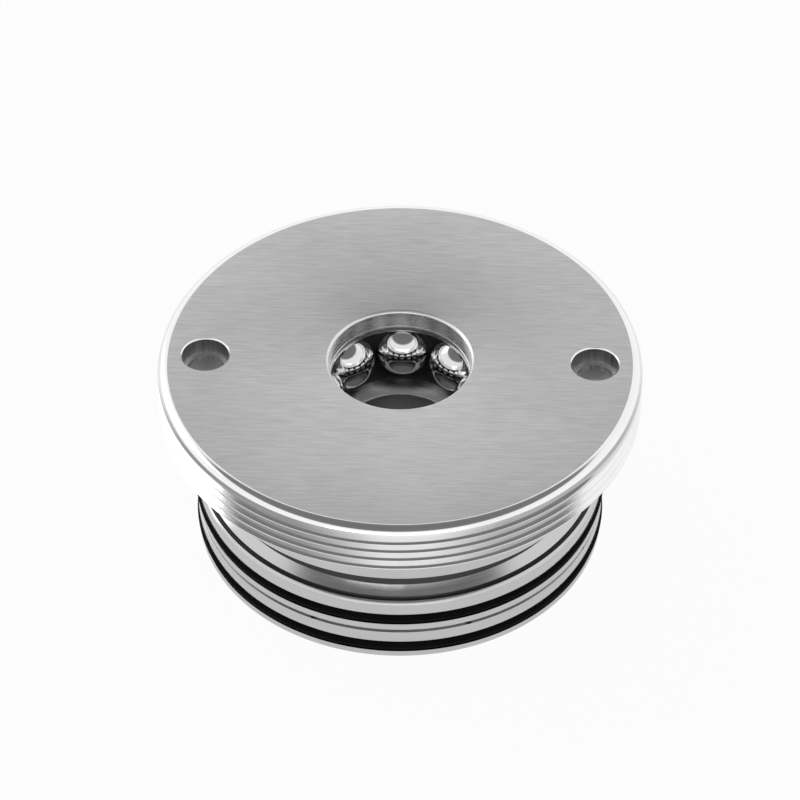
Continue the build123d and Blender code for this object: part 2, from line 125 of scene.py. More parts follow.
class NodeSheet:
    """The node tree of a material or a world, with short calls for adding and linking nodes."""

    def __init__(self, owner: Material | bpy.types.World) -> None:
        """Start with an empty tree.

        Args:
            owner: Material or world that the tree belongs to.
        """
        self.owner = owner
        owner.use_nodes = True
        self.tree = owner.node_tree
        self.tree.nodes.clear()

    def add(self, kind: str, **settings: object) -> bpy.types.Node:
        """Add a node and set its properties.

        Args:
            kind: Blender's type name of the node.
            **settings: Properties of the node.

        Returns:
            The new node.
        """
        node = self.tree.nodes.new(kind)
        for name, value in settings.items():
            setattr(node, name, value)
        return node

    def feed(self, socket: Socket, source: object) -> None:
        """Link an output to a socket, or set the socket's own value.

        Args:
            socket: Input socket to feed.
            source: Output socket to link, or a value to set.
        """
        if isinstance(source, Socket):
            self.tree.links.new(source, socket)
        else:
            socket.default_value = source

    def math(self, operation: str, *operands: object) -> Socket:
        """Add a math node.

        Args:
            operation: Blender's name of the operation.
            *operands: Numbers or output sockets.

        Returns:
            The node's output.
        """
        node = self.add("ShaderNodeMath", operation=operation)
        for socket, operand in zip(node.inputs, operands):
            self.feed(socket, operand)
        return node.outputs[0]

    def times(self, first: object, second: object) -> Socket:
        """Multiply two numbers or outputs."""
        return self.math("MULTIPLY", first, second)

    def reach(self, x: object, y: object) -> Socket:
        """Distance from the axis of a place with these x and y outputs."""
        return self.math("SQRT", self.math("ADD", self.times(x, x), self.times(y, y)))

    def vector(self, x: object, y: object, z: object) -> Socket:
        """Join three parts to a vector.

        Args:
            x: Number or output of the first part.
            y: Number or output of the second part.
            z: Number or output of the third part.

        Returns:
            The vector output.
        """
        node = self.add("ShaderNodeCombineXYZ")
        for socket, part in zip(node.inputs, (x, y, z)):
            self.feed(socket, part)
        return node.outputs[0]

    def place(self) -> tuple[Socket, ...]:
        """Read the object coordinates.

        Returns:
            The vector output and its x, y and z outputs.
        """
        coordinates = self.add("ShaderNodeTexCoord")
        parts = self.add("ShaderNodeSeparateXYZ")
        self.feed(parts.inputs[0], coordinates.outputs["Object"])
        return (coordinates.outputs["Object"], *parts.outputs)

    def noise(self, where: object, detail: float, w: object = None) -> Socket:
        """Add a noise texture of scale one.

        Args:
            where: Output socket with the place to read.
            detail: Octaves of the noise.
            w: Fourth coordinate, or None for noise in three dimensions.

        Returns:
            The noise's value output.
        """
        node = self.add("ShaderNodeTexNoise", noise_dimensions="3D" if w is None else "4D")
        self.feed(node.inputs["Vector"], where)
        if w is not None:
            self.feed(node.inputs["W"], w)
        node.inputs["Scale"].default_value = 1.0
        node.inputs["Detail"].default_value = detail
        return node.outputs[0]

    def ranged(self, value: object, *limits: float) -> Socket:
        """Map a value from one range to another.

        Args:
            value: Output socket with the value.
            *limits: Low and high end of its range, and what they become.

        Returns:
            The mapped output.
        """
        node = self.add("ShaderNodeMapRange")
        self.feed(node.inputs["Value"], value)
        for name, limit in zip(("From Min", "From Max", "To Min", "To Max"), limits):
            self.feed(node.inputs[name], limit)
        return node.outputs[0]

    def spread(self, value: object, low: float, high: float) -> Socket:
        """Map a noise value's middle range to the range from low to high."""
        return self.ranged(value, 0.28, 0.72, low, high)

    def scaled(self, vector: object, factor: object) -> Socket:
        """Scale a vector, a place or a colour.

        Args:
            vector: Value or output to scale.
            factor: Number or output to scale it by.

        Returns:
            The scaled output.
        """
        node = self.add("ShaderNodeVectorMath", operation="SCALE")
        self.feed(node.inputs[0], vector)
        self.feed(node.inputs["Scale"], factor)
        return node.outputs[0]

    def bump(self, height: object, depth: float) -> Socket:
        """Turn a height output into a normal.

        Args:
            height: Output socket with the height, from 0 to 1.
            depth: Depth of the marks in metres.

        Returns:
            The normal output.
        """
        node = self.add("ShaderNodeBump")
        self.feed(node.inputs["Height"], height)
        node.inputs["Strength"].default_value = 1.0
        node.inputs["Distance"].default_value = depth
        return node.outputs[0]

    def finish(self, **inputs: object) -> Material:
        """Add the surface shader and the output.

        Args:
            **inputs: Values or outputs for the shader's sockets, with spaces written as underscores.

        Returns:
            The finished material.
        """
        shader = self.add("ShaderNodeBsdfPrincipled")
        for name, value in inputs.items():
            self.feed(shader.inputs[name.replace("_", " ")], value)
        output = self.add("ShaderNodeOutputMaterial")
        self.tree.links.new(shader.outputs[0], output.inputs["Surface"])
        return self.owner


@dataclass(frozen=True)
class MachinedSteel:
    """Bright steel with the fine marks of a grinder or a lathe tool."""

    name: str
    tone: float
    roughness: float
    lay: Lay
    anisotropy: float = 0.6
    mark_pitch: float = 0.30
    mark_length: float = 7.0
    mark_depth: float = 0.0006
    contrast: float = 0.05
    mottle: float = 0.03
    broad_scale: float = 0.35
    fine_share: float = 0.65

    def build(self) -> Material:
        """Build the material.

        Returns:
            The finished material.
        """
        sheet = NodeSheet(bpy.data.materials.new(self.name))
        place, x, y, z = sheet.place()
        along = 1.0 / (self.mark_length * MM)
        across = 1.0 / (self.mark_pitch * MM)
        if self.lay is Lay.TURNED:
            rings = sheet.vector(
                sheet.times(sheet.reach(x, y), across),
                sheet.times(z, across),
                sheet.times(x, along),
            )
            fine = sheet.noise(rings, 3.0, sheet.times(y, along))
            far = sheet.times(y, along * self.broad_scale)
            broad = sheet.noise(sheet.scaled(rings, self.broad_scale), 1.0, far)
            tangent = sheet.vector(sheet.times(y, -1.0), x, 0.0)
        else:
            level = self.lay is Lay.STRAIGHT
            lines = sheet.vector(
                sheet.times(x, along if level else across),
                sheet.times(y, across),
                sheet.times(z, across if level else along),
            )
            fine = sheet.noise(lines, 3.0)
            broad = sheet.noise(sheet.scaled(lines, self.broad_scale), 1.0)
            tangent = sheet.vector(float(level), 0.0, float(not level))
        cloud = sheet.noise(sheet.scaled(place, 60.0), 2.0)
        marks = sheet.math(
            "ADD", sheet.times(fine, self.fine_share), sheet.times(broad, 1 - self.fine_share)
        )
        shade = sheet.times(
            sheet.spread(marks, 1 - self.contrast, 1 + self.contrast),
            sheet.spread(cloud, 1 - self.mottle, 1 + self.mottle),
        )
        return sheet.finish(
            Base_Color=sheet.scaled((self.tone, self.tone, self.tone), shade),
            Metallic=1.0,
            Roughness=sheet.spread(broad, self.roughness * 0.9, self.roughness * 1.12),
            Anisotropic=self.anisotropy,
            Anisotropic_Rotation=0.25,
            Tangent=tangent,
            Normal=sheet.bump(marks, self.mark_depth * MM),
        )


@dataclass(frozen=True)
class GrainedFinish:
    """Finish with clouds in its colour and a fine grain in its relief, and no direction."""

    name: str
    colour: Colour
    roughness: float
    metallic: float = 1.0
    specular: float = 0.5
    cloud_noise: Point = (350.0, 3.0)
    grain_noise: Point = (2800.0, 2.0)
    grain_depth: float = 0.004
    cloud_tint: Point = (0.85, 1.12)
    grain_tint: Point = (1.0, 1.0)
    sheen: Point = (0.8, 1.2)
    cloudy_sheen: bool = False

    def build(self) -> Material:
        """Build the material.

        Returns:
            The finished material.
        """
        sheet = NodeSheet(bpy.data.materials.new(self.name))
        place, *_ = sheet.place()
        cloud, grain = (
            sheet.noise(sheet.scaled(place, scale), detail)
            for scale, detail in (self.cloud_noise, self.grain_noise)
        )
        shade = sheet.times(
            sheet.spread(cloud, *self.cloud_tint), sheet.spread(grain, *self.grain_tint)
        )
        low, high = (self.roughness * part for part in self.sheen)
        return sheet.finish(
            Base_Color=sheet.scaled(self.colour, shade),
            Metallic=self.metallic,
            Roughness=sheet.spread(cloud if self.cloudy_sheen else grain, low, high),
            Specular_IOR_Level=self.specular,
            Normal=sheet.bump(grain, self.grain_depth * MM),
        )


@dataclass(frozen=True)
class PolishedSteel(GrainedFinish):
    """Bearing steel lapped to a mirror, with faint haze and hairlines."""

    name: str = "polished_steel"
    colour: Colour = (0.80, 0.80, 0.80)
    roughness: float = 0.045
    cloud_noise: Point = (420.0, 3.0)
    grain_noise: Point = (5200.0, 1.0)
    grain_depth: float = 0.0008
    cloud_tint: Point = (0.96, 1.03)
    sheen: Point = (0.6, 1.5)
    cloudy_sheen: bool = True


@dataclass(frozen=True)
class BlackOxide(GrainedFinish):
    """Steel blackened in a hot salt bath: dark, with a mottled sheen."""

    colour: Colour = (0.016, 0.016, 0.01664)
    roughness: float = 0.42
    metallic: float = 0.35
    cloud_noise: Point = (260.0, 4.0)
    grain_noise: Point = (2600.0, 2.0)
    grain_depth: float = 0.012
    cloud_tint: Point = (0.65, 1.4)
    grain_tint: Point = (0.6, 1.5)
    sheen: Point = (0.8, 1.25)
    cloudy_sheen: bool = True


@dataclass(frozen=True)
class SealRubber(GrainedFinish):
    """Moulded black nitrile rubber, faintly dusty and softly shiny."""

    name: str = "seal_rubber"
    colour: Colour = (0.002, 0.002, 0.002)
    roughness: float = 0.6
    metallic: float = 0.0
    specular: float = 0.03
    cloud_noise: Point = (90.0, 3.0)
    grain_noise: Point = (1500.0, 3.0)
    grain_depth: float = 0.01
    cloud_tint: Point = (0.7, 1.7)
    sheen: Point = (0.85, 1.15)


@dataclass(frozen=True)
class FilledPlastic(GrainedFinish):
    """Bronze-filled bearing plastic, with dark and bright specks."""

    name: str = "guide_plastic"
    colour: Colour = (0.16, 0.105, 0.07)
    roughness: float = 1.0
    metallic: float = 0.0
    cloud_noise: Point = (3400.0, 2.0)
    grain_noise: Point = (3400.0, 2.0)
    grain_depth: float = 0.012
    cloud_tint: Point = (0.6, 1.5)
    sheen: Point = (0.5, 0.68)


@dataclass(frozen=True)
class PlainMetal(GrainedFinish):
    """Drawn, stamped or ground metal of the small inner pieces."""


Finish = MachinedSteel | GrainedFinish


def built(finish: Finish) -> Material:
    """A dataclass field that holds the material of a finish."""
    return field(default_factory=finish.build)


def turned_steel(name: str, tone: float, roughness: float, **marks: float) -> Material:
    """A dataclass field that holds steel with rings around Z."""
    return built(MachinedSteel(name, tone, roughness, Lay.TURNED, **marks))


@dataclass
class Workshop:
    """Every finish of the locator, built once and shared by its pieces."""

    face: Material = built(
        MachinedSteel(
            "face_steel",
            tone=0.58,
            roughness=0.30,
            lay=Lay.STRAIGHT,
            mark_pitch=0.5,
            mark_length=6.0,
            contrast=0.16,
        )
    )
    rim: Material = turned_steel(
        "rim_steel", 0.92, 0.10, anisotropy=0.4, mark_pitch=0.16, contrast=0.02
    )
    shell: Material = turned_steel(
        "shell_steel", 0.60, 0.14, anisotropy=0.4, mark_pitch=0.18, contrast=0.03
    )
    # Near-black turned steel: painted shade on the undercut wall and the ledge under the flange.
    shaded_neck: Material = turned_steel("painted_shade_neck", 0.07, 0.30)
    bore: Material = turned_steel("bore_steel", 0.78, 0.26, mark_pitch=0.15, contrast=0.04)
    hole: Material = built(
        MachinedSteel(
            "drilled_steel",
            tone=0.40,
            roughness=0.30,
            lay=Lay.DRILLED,
            mark_pitch=0.8,
            mark_length=9.0,
            contrast=0.45,
        )
    )
    # Near-white rough steel: painted light on the floors of the spanner holes and the base's pocket.
    lit_hole_floor: Material = turned_steel("hole_floor_painted_light", 0.95, 0.45)
    race: Material = turned_steel("race_steel", 0.62, 0.24, mark_pitch=0.12, contrast=0.03)
    piston: Material = turned_steel("piston_steel", 0.5, 0.2, mark_pitch=0.15)
    ball: Material = built(PolishedSteel())
    cage: Material = built(BlackOxide("cage_oxide"))
    screw: Material = built(BlackOxide("screw_oxide", (0.03, 0.03, 0.0312), 0.36))
    rubber: Material = built(SealRubber())
    plastic: Material = built(FilledPlastic())
    spring: Material = built(PlainMetal("spring_steel", (0.33, 0.33, 0.34), 0.3))
    dowel: Material = built(PlainMetal("dowel_steel", (0.6, 0.6, 0.6), 0.2))
    brass: Material = built(PlainMetal("washer_brass", (0.70, 0.44, 0.24), 0.34))


@dataclass(frozen=True)
class Corner:
    """One corner of a turned outline: radius and height in millimetres, and its edge break."""

    radius: float
    height: float
    edge: float = 0.1
    steps: int = 2


def groove(wall: float, floor: float, ends: Point, lip: float, foot: float) -> list[Corner]:
    """Corners of a groove round a turned piece.

    Args:
        wall: Radius of the surface that it is in.
        floor: Radius of its floor.
        ends: Heights of its first and second side.
        lip: Edge break of its two edges.
        foot: Edge break of its two inner corners.

    Returns:
        Its corners in order.
    """
    first, second = ends
    return [
        Corner(wall, first, lip),
        Corner(floor, first, foot),
        Corner(floor, second, foot),
        Corner(wall, second, lip),
    ]


def seal_sides(seal: Span, gap: float = GROOVE_GAP) -> Point:
    """Heights of the sides of a groove that a seal lies in with a gap on each side."""
    return seal.low - gap, seal.high + gap


def swept(mesh: Mesh, geometry: list, turns: float, steps: int, climb: float = 0.0) -> list:
    """Spin geometry around Z, with its first and last sections merged where it doesn't climb.

    Args:
        mesh: Mesh that holds it.
        geometry: Points and edges to spin.
        turns: How far it goes round.
        steps: Sections on the way.
        climb: Rise of each section in millimetres.

    Returns:
        The geometry of the last section.
    """
    return bmesh.ops.spin(
        mesh,
        geom=geometry,
        cent=(0, 0, 0),
        axis=(0, 0, 1),
        dvec=(0, 0, climb * MM),
        angle=FULL_TURN * turns,
        steps=steps,
        use_merge=not climb,
        use_duplicate=False,
    )["geom_last"]


def turned(outline: Sequence[Corner], closed: bool = True, steps: int = TURNING_STEPS) -> Mesh:
    """Spin an outline around Z, with its corners rounded first.

    Args:
        outline: Corners of the outline in order.
        closed: Whether the last corner joins the first.
        steps: Sections in the full turn.

    Returns:
        The turned shell.
    """
    shell = bmesh.new()
    points = [shell.verts.new((c.radius * MM, 0.0, c.height * MM)) for c in outline]
    pairs = list(zip(points, points[1:]))
    if closed:
        pairs.append((points[-1], points[0]))
    for pair in pairs:
        shell.edges.new(pair)
    for corner, point in zip(outline, points):
        if corner.edge > 0:
            bmesh.ops.bevel(
                shell,
                geom=[point],
                offset=corner.edge * MM,
                offset_type="OFFSET",
                segments=corner.steps,
                profile=0.5,
                affect="VERTICES",
                material=-1,
                clamp_overlap=False,
            )
    bmesh.ops.remove_doubles(shell, verts=shell.verts[:], dist=WELD_DISTANCE)
    swept(shell, shell.verts[:] + shell.edges[:], 1.0, steps)
    bmesh.ops.remove_doubles(shell, verts=shell.verts[:], dist=WELD_DISTANCE)
    return shell


def fill_ends(mesh: Mesh) -> None:
    """Close a mesh's open ends."""
    rims = [edge for edge in mesh.edges if len(edge.link_faces) == 1]
    bmesh.ops.holes_fill(mesh, edges=rims, sides=0)


def polar(radius: float, angle: float, height: float = 0.0) -> Vector:
    """A point at a radius and a height in millimetres and an angle in degrees, in metres."""
    turn = math.radians(angle)
    return Vector((radius * math.cos(turn), radius * math.sin(turn), height)) * MM


def steps_round(count: int, start: float = 0.0) -> list[float]:
    """Angles in degrees of a number of places evenly round the axis."""
    return [start + 360.0 / count * number for number in range(count)]


def places_round(radius: float, count: int, start: float = 0.0) -> list[Vector]:
    """Places evenly round a circle with a radius in millimetres, in metres."""
    return [polar(radius, angle) for angle in steps_round(count, start)]


def join(target: Mesh, source: Mesh) -> None:
    """Add one mesh to another and free it.

    Args:
        target: Mesh that grows.
        source: Mesh that is added and freed.
    """
    carrier = bpy.data.meshes.new("carrier")
    source.to_mesh(carrier)
    source.free()
    target.from_mesh(carrier)
    bpy.data.meshes.remove(carrier)


def moved(mesh: Mesh, place: Vector) -> Mesh:
    """Move a whole mesh by a vector in metres."""
    bmesh.ops.translate(mesh, verts=mesh.verts[:], vec=place)
    return mesh


def rolled(mesh: Mesh, turn: Matrix) -> Mesh:
    """Turn a whole mesh about the origin by a rotation."""
    bmesh.ops.rotate(mesh, verts=mesh.verts[:], cent=(0, 0, 0), matrix=turn)
    return mesh


def drills(radius: float, low: float, high: float, places: Iterable[Vector]) -> list[Mesh]:
    """Round cutters that stand upright.

    Args:
        radius: Radius in millimetres.
        low: Height of their lower ends in millimetres.
        high: Height of their upper ends in millimetres.
        places: Where their axes are, in metres.

    Returns:
        The cutters.
    """
    size, depth, middle = radius * MM, (high - low) * MM, (low + high) / 2 * MM
    cutters = []
    for place in places:
        cutter = bmesh.new()
        bmesh.ops.create_cone(
            cutter, cap_ends=True, segments=HOLE_STEPS, radius1=size, radius2=size, depth=depth
        )
        cutters.append(moved(cutter, Vector((place.x, place.y, middle))))
    return cutters


def slots(length: float, width: float, low: float, high: float, at: float) -> list[Mesh]:
    """Four box-shaped cutters that lie along radii, evenly round the axis.

    Args:
        length: Size along the radius in millimetres.
        width: Size across the radius in millimetres.
        low: Height of their lower faces in millimetres.
        high: Height of their upper faces in millimetres.
        at: Radius of their middles in millimetres.

    Returns:
        The cutters.
    """
    cutters = []
    for angle in steps_round(4):
        cutter = bmesh.new()
        bmesh.ops.create_cube(cutter, size=1.0)
        bmesh.ops.scale(cutter, verts=cutter.verts[:], vec=Vector((length, width, high - low)) * MM)
        moved(cutter, Vector((at, 0, (low + high) / 2)) * MM)
        cutters.append(rolled(cutter, Matrix.Rotation(math.radians(angle), 3, "Z")))
    return cutters


def placed(name: str, data: bpy.types.ID) -> Piece:
    """Put data into the scene as a new object.

    Args:
        name: Name of the object.
        data: Mesh, lamp or camera that it holds.

    Returns:
        The new object, at the origin.
    """
    piece = bpy.data.objects.new(name, data)
    bpy.context.scene.collection.objects.link(piece)
    return piece


def solid(shell: Mesh, name: str) -> Piece:
    """Close a mesh's surface, point it outwards and make it an object.

    Args:
        shell: Mesh to take over and free.
        name: Name of the object.

    Returns:
        The new object, at the origin.
    """
    bmesh.ops.recalc_face_normals(shell, faces=shell.faces[:])
    mesh = bpy.data.meshes.new(name)
    shell.to_mesh(mesh)
    shell.free()
    return placed(name, mesh)


def cut(piece: Piece, cutters: Iterable[Mesh]) -> None:
    """Take cutters that don't touch each other out of a piece.

    Args:
        piece: Piece to cut.
        cutters: Closed cutters, which are used up.
    """
    block = bmesh.new()
    for cutter in cutters:
        join(block, cutter)
    tool = solid(block, "cutter")
    modifier = piece.modifiers.new("cut", "BOOLEAN")
    modifier.operation = "DIFFERENCE"
    modifier.solver = "EXACT"
    modifier.object = tool
    graph = bpy.context.evaluated_depsgraph_get()
    result = bpy.data.meshes.new_from_object(piece.evaluated_get(graph))
    piece.modifiers.clear()
    old = piece.data
    piece.data = result
    result.name = piece.name
    bpy.data.meshes.remove(old)
    bpy.data.objects.remove(tool)


def dress(piece: Piece, *materials: Material, crease: float = 32.0) -> None:
    """Give a piece its materials and smooth shading between its creases.

    Args:
        piece: Piece to dress.
        *materials: Materials for its slots in order.
        crease: Angle in degrees past which an edge stays sharp.
    """
    piece.data.materials.clear()
    for material in materials:
        piece.data.materials.append(material)
    piece.data.shade_smooth()
    piece.data.set_sharp_from_angle(angle=math.radians(crease))


def seat(piece: Piece, body: Body, slot: str, *nodes: str) -> None:
    """Put a finished piece on its body, in place of the nodes it stands for.

    Args:
        piece: Finished piece.
        body: Body that it rides on.
        slot: Name of its material slot; not used.
        *nodes: Nodes that it replaces.
    """
    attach(piece, body.value)
    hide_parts(*nodes)
    LOG.info("piece %s: %d faces", piece.name, len(piece.data.polygons))


def helix_cutter(
    section: Sequence[Point],
    pitch: float,
    start: float,
    end: float,
    angle: float = 0.0,
    steps: int = TURNING_STEPS,
    run_out: int = 0,
) -> Mesh:
    """A closed cutter that climbs a right-hand helix around Z. Sizes in millimetres.

    Args:
        section: Radius of each corner, and its height from the groove's middle.
        pitch: Climb of one turn.
        start: Height of the middle where the groove starts.
        end: Height of the middle where it ends.
        angle: Angle in degrees where it starts.
        steps: Sections in one turn.
        run_out: Sections over which the groove leaves the surface at its end.

    Returns:
        The cutter.
    """
    cutter = bmesh.new()
    points = [cutter.verts.new((reach * MM, 0.0, (start + rise) * MM)) for reach, rise in section]
    ring = points + [cutter.edges.new(pair) for pair in zip(points, points[1:] + points[:1])]
    count = round((end - start) / pitch * steps)
    depth = max(reach for reach, _ in section) - min(reach for reach, _ in section)
    for sections in [count] + [1] * run_out:
        ring = swept(cutter, ring, sections / steps, sections, pitch / steps)
        if sections == 1:
            last = [item for item in ring if isinstance(item, bmesh.types.BMVert)]
            outwards = Vector((*last[0].co.xy, 0.0)).normalized() * (depth / run_out * MM)
            bmesh.ops.translate(cutter, verts=last, vec=outwards)
    fill_ends(cutter)
    rolled(cutter, Matrix.Rotation(math.radians(angle), 3, "Z"))
    bmesh.ops.recalc_face_normals(cutter, faces=cutter.faces[:])
    return cutter


def screw_circle() -> float:
    """Radius in millimetres of the circle on which the tie screws stand."""
    head = Span.of("tie_screws").radius - TieScrews.head_radius
    return head / math.cos(math.radians(TieScrews.first_angle))


def screw_places() -> list[Vector]:
    """Places of the tie screws, in metres."""
    return places_round(screw_circle(), TieScrews.count, TieScrews.first_angle)


def spring_places() -> list[Vector]:
    """Places of the springs, in metres."""
    low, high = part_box("spring_1")
    return places_round((low.x + high.x) / 2 / MM, SpringSet.count)


@dataclass
class FlangeCover:
    """Threaded disc with the brushed face, the stud bore and the two spanner holes."""

    shop: Workshop
    disc: Span = measured("flange_cover")
    body: Span = measured("cylinder_body")
    cage: Span = measured("ball_cage")
    piston: Span = measured("piston")
    seal: Span = measured("sleeve_seal")
    rim_fillet: float = 2.3
    rim_chamfer: float = 1.0
    bore_radius: float = 16.1
    bore_low: float = 6.0
    bore_lip: float = 4.5
    collar_radius: float = 16.77
    taper_low: float = 16.3
    taper_high: float = 16.45
    mouth_edge: float = 0.5
    ceiling: float = 5.8
    spanner_circle: float = 45.0
    spanner_radius: float = 5.4
    spanner_depth: float = 4.5
    relief_radius: float = 4.45
    relief_depth: float = 5.9
    spanner_edge: float = 0.3
    tapped_radius: float = 2.02
    tapped_depth: float = 8.0
    flute_length: float = 2.4
    flute_width: float = 3.0
    thread_pitch: float = 2.5
    thread_depth: float = 1.4
    thread_mouth: float = 2.19
    thread_root: float = 0.57
    thread_drop: float = 1.35
    thread_end: float = 2.8
    thread_angle: float = 90.0

    def outline(self) -> list[Corner]:
        """Section of the cover, from the rim's bottom round the inside to the rim's top.

        Returns:
            Its corners in order.
        """
        top, bottom = self.disc.high, self.body.high
        sleeve_way = self.seal.radius - self.seal.height + 0.03
        register = self.cage.radius + 0.03
        return [
            Corner(self.disc.radius, bottom + self.rim_chamfer, 0.08),
            Corner(self.disc.radius - self.rim_chamfer, bottom, 0.08),
            Corner(self.piston.radius, bottom),
            Corner(self.piston.radius, self.disc.low),
            Corner(sleeve_way, self.disc.low),
            *groove(sleeve_way, self.seal.radius, seal_sides(self.seal), 0.05, 0.1),
            Corner(sleeve_way, top - self.ceiling),
            Corner(register, top - self.ceiling, 0.05),
            Corner(register, self.cage.high),
            Corner(self.collar_radius, self.cage.high, 0.05),
            Corner(self.collar_radius, top - self.bore_low, 0.06),
            Corner(self.bore_radius, top - self.bore_low, 0.1),
            Corner(self.bore_radius, top - self.bore_lip, 0.05),
            Corner(self.taper_low, top - self.bore_lip, 0.04),
            Corner(self.taper_high, top - self.mouth_edge, 0.06),
            Corner(self.taper_high + self.mouth_edge, top, 0.06),
            Corner(self.disc.radius, top, self.rim_fillet, 14),
        ]

    def thread_cutter(self) -> Mesh:
        """V groove of the rim, which starts under it and runs out below the fillet.

        Returns:
            The cutter.
        """
        over = 0.15
        flare = over * (self.thread_mouth - self.thread_root) / self.thread_depth / 2
        mouth, root = self.thread_mouth / 2 + flare, self.thread_root / 2
        outer, inner = self.disc.radius + over, self.disc.radius - self.thread_depth
        return helix_cutter(
            [(outer, -mouth), (inner, -root), (inner, root), (outer, mouth)],
            pitch=self.thread_pitch,
            start=self.body.high - self.thread_drop,
            end=self.disc.high - self.thread_end,
            angle=self.thread_angle,
            run_out=9,
        )

    def spanner_cutters(self) -> list[Mesh]:
        """Stepped spanner holes, with their mouths broken.

        Returns:
            The cutters.
        """
        top, edge = self.disc.high, self.spanner_edge
        shape = [
            Corner(0.0, top - self.relief_depth, 0.0),
            Corner(self.relief_radius, top - self.relief_depth, 0.25),
            Corner(self.relief_radius, top - self.spanner_depth, 0.08),
            Corner(self.spanner_radius, top - self.spanner_depth, 0.2),
            Corner(self.spanner_radius, top - edge, 0.04),
            Corner(self.spanner_radius + edge + 0.03, top + 0.03, 0.0),
            Corner(self.spanner_radius + edge + 0.03, top + 1.0, 0.0),
            Corner(0.0, top + 1.0, 0.0),
        ]
        places = places_round(self.spanner_circle, 2)
        return [moved(turned(shape, False, HOLE_STEPS * 2), place) for place in places]

    def paint_faces(self, piece: Piece) -> None:
        """Give the top face, the bore and the spanner holes finishes of their own, with painted light
        on the holes' floors.

        Args:
            piece: The finished cover.
        """
        top = self.disc.high
        _, face_slot, bore_slot, hole_slot, lit_floor_slot = range(len(piece.data.materials))
        middles = [place.xy for place in places_round(self.spanner_circle, 2)]
        for face in piece.data.polygons:
            height = face.center.z / MM
            reach = face.center.xy.length / MM
            off_hole = min((face.center.xy - middle).length for middle in middles) / MM
            if off_hole < self.spanner_radius + 0.02 and top - self.relief_depth - 0.1 < height:
                # Painted light: the up-facing floors deep in the spanner holes take the near-white
                # floor finish.
                on_lit_floor = face.normal.z > 0.7 and height < top - 1.0
                face.material_index = lit_floor_slot if on_lit_floor else hole_slot
            elif face.normal.z > 0.999 and height > top - 0.01:
                face.material_index = face_slot
            elif reach < self.taper_high + self.mouth_edge:
                face.material_index = bore_slot

    def build(self) -> None:
        """Turn, thread and drill the cover."""
        bottom = self.body.high
        piece = solid(turned(self.outline()), "flange_cover_turned")
        cut(piece, [self.thread_cutter()])
        tapped = (self.tapped_radius, bottom - CUT_PAST, bottom + self.tapped_depth)
        cut(piece, self.spanner_cutters() + drills(*tapped, screw_places()))
        width, low = self.flute_width, self.disc.low - CUT_PAST
        cut(piece, slots(self.flute_length, width, low, bottom, self.piston.radius))
        shop = self.shop
        dress(piece, shop.rim, shop.face, shop.bore, shop.hole, shop.lit_hole_floor)
        self.paint_faces(piece)
        seat(piece, Body.HOUSING, "cover_steel", "flange_cover")


